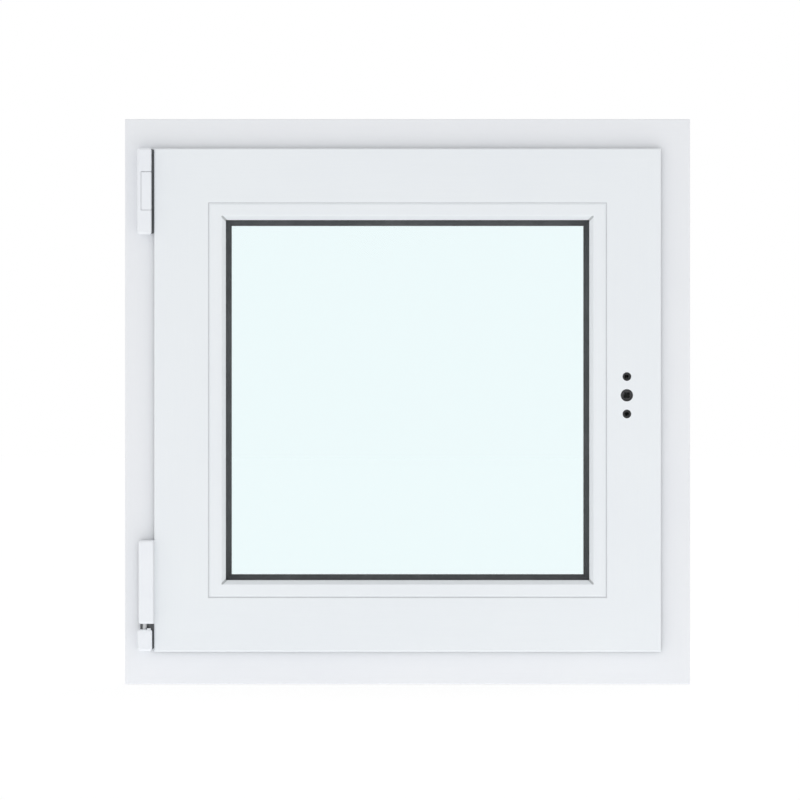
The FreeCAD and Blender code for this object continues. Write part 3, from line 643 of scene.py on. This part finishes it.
class Finishes:
    """Every finish of the window, made once."""

    def __init__(self, mitre: Mitre) -> None:
        """Builds the finishes.

        Args:
            mitre: The beads' mitres and the painted shade in their joint beside the sash.
        """
        self.frame_across = ExtrudedPlastic(
            "frame plastic across", Axis.X, FRAME_WHITE, FRAME_SHADE).build()
        self.frame_up = ExtrudedPlastic(
            "frame plastic upright", Axis.Z, FRAME_WHITE, FRAME_SHADE).build()
        self.sash_across = ExtrudedPlastic(
            "sash plastic across", Axis.X, SASH_WHITE, SASH_SHADE).build()
        self.sash_up = ExtrudedPlastic(
            "sash plastic upright", Axis.Z, SASH_WHITE, SASH_SHADE).build()
        self.bead_across = ExtrudedPlastic(
            "bead plastic across", Axis.X, SASH_WHITE, SASH_SHADE, mitre).build()
        self.bead_up = ExtrudedPlastic(
            "bead plastic upright", Axis.Z, SASH_WHITE, SASH_SHADE, mitre).build()
        self.cover = MouldedPlastic("cover plastic", COVER_WHITE, COVER_SHADE).build()
        # The hinge cover carries painted shade along its joint with the sash.
        self.sash_cover = MouldedPlastic(
            "sash hinge cover plastic", COVER_WHITE, COVER_SHADE,
            joint_at=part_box("sash_hinge_stile")[0].x - COVER_GAP).build()
        self.drain = MouldedPlastic("drain cover plastic", DRAIN_WHITE, DRAIN_SHADE).build()
        self.gasket = Rubber(
            "gasket rubber", colour=(0.058, 0.063, 0.066), dust=(0.095, 0.1, 0.104)).build()
        self.sealant = Rubber(
            "edge sealant", colour=(0.012, 0.012, 0.013), dust=(0.03, 0.03, 0.032)).build()
        self.glass = FloatGlass("float glass", tint=(0.921, 0.979, 0.984)).build()
        # Hinge steel darkened far below plated steel to stand for the shade in the slots: painted
        # shade.
        self.steel_painted_shade = PlatedSteel(
            "plated steel shaded", colour=(0.14, 0.145, 0.15), dark=(0.1, 0.105, 0.11)).build()
        # Gearbox steel darkened to stand for the shade deep in the handle holes: painted shade.
        self.gear = PlatedSteel(
            "gearbox steel painted shade", colour=(0.11, 0.11, 0.115), dark=(0.08, 0.08, 0.085)).build()
        self.pin = PlatedSteel(
            "pin steel", colour=(0.5, 0.51, 0.52), dark=(0.4, 0.41, 0.42), roughness=0.26).build()
        self.spacer = SpacerBar(
            "spacer aluminium", colour=(0.66, 0.67, 0.68), hole=(0.05, 0.05, 0.05)).build()


def dress(nodes: Iterable[str], material: bpy.types.Material) -> None:
    """Gives CAD nodes one material.

    Args:
        nodes: The nodes' names.
        material: The finish.
    """
    for name in nodes:
        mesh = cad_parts[name].data
        mesh.materials.clear()
        mesh.materials.append(material)
        log.info("dressed %s with %s", name, material.name)


def piece(name: str, mesh: bmesh.types.BMesh, material: bpy.types.Material) -> None:
    """Turns a bmesh into a piece that rides on the window.

    Args:
        name: The piece's name.
        mesh: Its shape, in place; it is freed.
        material: Its finish.
    """
    data = bpy.data.meshes.new(name)
    mesh.to_mesh(data)
    mesh.free()
    data.materials.append(material)
    made = bpy.data.objects.new(name, data)
    bpy.context.scene.collection.objects.link(made)
    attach(made, BODY)
    log.info("made %s: %d faces", name, len(data.polygons))


@dataclass
class Bars:
    """The frame's and the sash's bars, the beads and the drain covers."""

    def finish(self, finishes: Finishes) -> None:
        """Gives each bar the plastic that runs its way.

        Args:
            finishes: The window's finishes.
        """
        dress(("frame_head", "frame_sill"), finishes.frame_across)
        dress(("frame_hinge_jamb", "frame_lock_jamb"), finishes.frame_up)
        dress(("sash_top_rail", "sash_bottom_rail"), finishes.sash_across)
        dress(("sash_hinge_stile", "sash_lock_stile"), finishes.sash_up)
        dress(("glazing_bead_top", "glazing_bead_bottom"), finishes.bead_across)
        dress(("glazing_bead_left", "glazing_bead_right"), finishes.bead_up)
        dress(("drain_cover_left", "drain_cover_right"), finishes.drain)


@dataclass
class Glazing:
    """The sealed unit and every gasket."""

    def finish(self, finishes: Finishes) -> None:
        """Gives glass, spacer, sealant and gaskets their finishes.

        Args:
            finishes: The window's finishes.
        """
        dress(("glass_pane_room", "glass_pane_outside"), finishes.glass)
        dress(("glass_spacer",), finishes.spacer)
        dress(("edge_sealant",), finishes.sealant)
        dress(("glazing_gasket_room", "glazing_gasket_outside"), finishes.gasket)
        dress(("sash_overlap_gasket", "frame_stop_gasket"), finishes.gasket)


@dataclass
class Hinges:
    """Both hinges: white covers over plated steel."""

    def finish(self, finishes: Finishes) -> None:
        """Gives the covers and the steel their finishes.

        Args:
            finishes: The window's finishes.
        """
        dress(("upper_hinge_bearing", "stay_knuckle", "pivot_rest_cover"), finishes.cover)
        dress(("sash_hinge_cover",), finishes.sash_cover)
        # The plates and strap seen in the slots are painted dark: painted shade.
        dress(("upper_hinge_plate", "pivot_rest_bracket", "sash_hinge_strap"), finishes.steel_painted_shade)
        dress(("upper_hinge_pin", "pivot_pin"), finishes.pin)


@dataclass
class HandleDrive:
    """What shows in the three holes for the handle: gearbox, turning nut and screw threads.

    Lengths are metres. The ridge of a thread is a triangle: thread_foot is half of its foot, as a
    share of the pitch. It starts thread_start behind the front of the nut.
    """

    screw_spacing: float = 43 * MM
    thread_radius: float = 2.5 * MM
    thread_gap: float = 0.02 * MM
    thread_depth: float = 0.35 * MM
    thread_pitch: float = 0.8 * MM
    thread_foot: float = 0.35
    thread_start: float = 0.6 * MM
    turns: int = 10
    steps: int = 24

    def finish(self, finishes: Finishes) -> None:
        """Gives the gearbox and its turning nut their finish, darkened as painted shade in the
        handle holes.
        """
        dress(("lock_gearbox", "spindle_follower"), finishes.gear)

    def thread(self, name: str, height: float, material: bpy.types.Material) -> None:
        """Winds the thread's ridge inside one screw hole of the gearbox.

        Args:
            name: The new piece's name.
            height: Height of the screw's axis above the sill's underside.
            material: Its finish.
        """
        nut_low, nut_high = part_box("spindle_follower")
        front = nut_low.y + self.thread_start
        axis = Vector(((nut_low.x + nut_high.x) / 2, front, height))
        outer = self.thread_radius - self.thread_gap
        inner = outer - self.thread_depth
        half = self.thread_pitch * self.thread_foot
        mesh = bmesh.new()
        corners = ((outer, -half), (inner, 0.0), (outer, half))
        verts = [mesh.verts.new((axis.x + r, front + y, height)) for r, y in corners]
        face = mesh.faces.new(verts)
        bmesh.ops.spin(
            mesh, geom=[face], cent=axis, axis=Axis.Y.vector,
            angle=math.tau * self.turns, steps=self.steps * self.turns,
            dvec=Axis.Y.vector * (self.thread_pitch / self.steps))
        bmesh.ops.recalc_face_normals(mesh, faces=mesh.faces)
        piece(name, mesh, material)

    def build(self, finishes: Finishes) -> None:
        """Adds the threads of both handle screws.

        Args:
            finishes: The window's finishes.
        """
        nut_low, nut_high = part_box("spindle_follower")
        middle = (nut_low.z + nut_high.z) / 2
        self.thread("handle_thread_upper", middle + self.screw_spacing / 2, finishes.pin)
        self.thread("handle_thread_lower", middle - self.screw_spacing / 2, finishes.pin)


@dataclass(frozen=True)
class SoftLamp:
    """A soft rectangular lamp: its power in watts, and its width and height in metres."""

    name: str
    power: float
    size: Span

    def hang(self, at: Vector, to: Vector) -> None:
        """Hangs the lamp, unseen by the camera.

        Args:
            at: Where it hangs.
            to: What it faces.
        """
        data = bpy.data.lights.new(self.name, "AREA")
        data.shape = "RECTANGLE"
        data.size, data.size_y = self.size
        data.energy = self.power
        made = bpy.data.objects.new(self.name, data)
        made.location = at
        made.rotation_mode = "QUATERNION"
        made.rotation_quaternion = (to - at).to_track_quat("-Z", "Y")
        made.visible_camera = False
        bpy.context.scene.collection.objects.link(made)


CLEAR_WHITE = (1.0, 1.0, 1.0, 1.0)


def frame_face() -> float:
    """Where the face of the frame on the room side lies, through the window."""
    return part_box("frame_sill")[0].y


@dataclass
class Studio:
    """Pale floor, white surround, soft light and the camera.

    Lengths are metres, but the lens and the sensor are in millimetres. The soft box lies just
    above the floor and reaches box_behind behind the face of the frame.
    """

    lens: float = 600.0
    sensor: float = 36.0
    picture_width: float = 0.9203
    aim_x: float = -8.7 * MM
    aim_z: float = 326.86 * MM
    clip: Span = (0.05, 300.0)
    room_face: float = field(default_factory=frame_face)
    ambient: float = 0.95
    overhead: Span = (0.6, 0.9)
    overhead_loss: float = 0.44
    floor_size: float = 120.0
    floor_drop: float = 0.5 * MM
    floor_grey: float = 0.86
    floor_glow: float = 1.155
    glow_share: float = 0.7
    soft_box: SoftLamp = SoftLamp("low soft box", 34.0, (5.0, 4.2))
    box_behind: float = 1.0 * MM
    box_drop: float = 0.3 * MM
    fill: SoftLamp = SoftLamp("outside fill", 10.0, (2.4, 1.6))
    fill_place: tuple[float, float, float] = (0.6, 2.6, 1.9)

    def surround(self) -> None:
        """A world that is white to look at and plain grey as a light, dimmer overhead."""
        world = bpy.data.worlds.new("surround")
        bpy.context.scene.world = world
        world.use_nodes = True
        tree = ShaderTree(world.node_tree, "ShaderNodeOutputWorld")
        direction = tree.add("ShaderNodeTexCoord", out="Generated")
        up = tree.add("ShaderNodeSeparateXYZ", sockets={0: direction}, out=Axis.Z.value)
        strength = self.ambient - up.smooth(*self.overhead) * self.overhead_loss
        plain = {"Color": CLEAR_WHITE}
        light = tree.add("ShaderNodeBackground", sockets={**plain, "Strength": strength})
        white = tree.add("ShaderNodeBackground", sockets={**plain, "Strength": 1.0})
        tree.end(tree.add("ShaderNodeMixShader", sockets={0: tree.seen(), 1: light, 2: white}))

    def floor(self) -> None:
        """A pale floor that keeps the window's shadow."""
        mesh = bmesh.new()
        bmesh.ops.create_grid(mesh, x_segments=1, y_segments=1, size=self.floor_size / 2)
        bmesh.ops.translate(mesh, verts=mesh.verts, vec=(0.0, 0.0, -self.floor_drop))
        data = bpy.data.meshes.new("floor")
        mesh.to_mesh(data)
        mesh.free()
        made = bpy.data.objects.new("floor", data)
        bpy.context.scene.collection.objects.link(made)
        tree = FinishTree("floor white")
        grey = (self.floor_grey, self.floor_grey, self.floor_grey, 1.0)
        paint = tree.add("ShaderNodeBsdfDiffuse", sockets={"Color": grey})
        glow = tree.add(
            "ShaderNodeEmission", sockets={"Color": CLEAR_WHITE, "Strength": self.floor_glow})
        share = tree.seen() * self.glow_share
        tree.end(tree.add("ShaderNodeMixShader", sockets={0: share, 1: paint, 2: glow}))
        data.materials.append(tree.material)

    def lamps(self) -> None:
        """A wide soft box low in front, and a weak fill outside."""
        middle = self.room_face + self.box_behind - self.soft_box.size[1] / 2
        low = Vector((0.0, middle, -self.box_drop))
        self.soft_box.hang(low, low + Axis.Z.vector)
        self.fill.hang(Vector(self.fill_place), Vector((0.0, self.room_face, self.aim_z)))

    def camera(self) -> None:
        """A long lens square on to the room side, as in the photograph."""
        data = bpy.data.cameras.new("square on")
        data.lens = self.lens
        data.sensor_width = self.sensor
        data.clip_start, data.clip_end = self.clip
        away = self.picture_width * self.lens / self.sensor
        made = bpy.data.objects.new("square on", data)
        made.location = (self.aim_x, self.room_face - away, self.aim_z)
        made.rotation_euler = (math.pi / 2, 0.0, 0.0)
        bpy.context.scene.collection.objects.link(made)
        bpy.context.scene.camera = made

    def build(self) -> None:
        """Sets up everything round the window."""
        bpy.context.scene.view_settings.view_transform = "Standard"
        self.surround()
        self.floor()
        self.lamps()
        self.camera()
        log.info("studio ready")


def bead_mitre() -> Mitre:
    """Reads where the beads' mitres run from the beads themselves.

    Returns:
        The mitres and the painted shade in the joint beside the sash.
    """
    low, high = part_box("glazing_bead_bottom")
    foot, head = high.z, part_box("glazing_bead_top")[0].z
    return Mitre(
        half_width=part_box("glazing_bead_right")[0].x,
        half_height=(head - foot) / 2,
        middle=(head + foot) / 2,
        face=low.y,
        bead=high.z - low.z - FOOT_DEEP,
    )


def main() -> None:
    """Dresses the window and sets up the studio."""
    logging.basicConfig(level=logging.INFO, format="%(name)s: %(message)s")
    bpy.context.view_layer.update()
    finishes = Finishes(bead_mitre())
    drive = HandleDrive()
    for group in (Bars(), Glazing(), Hinges(), drive):
        group.finish(finishes)
    drive.build(finishes)
    Studio().build()


if __name__ == "__main__":
    main()
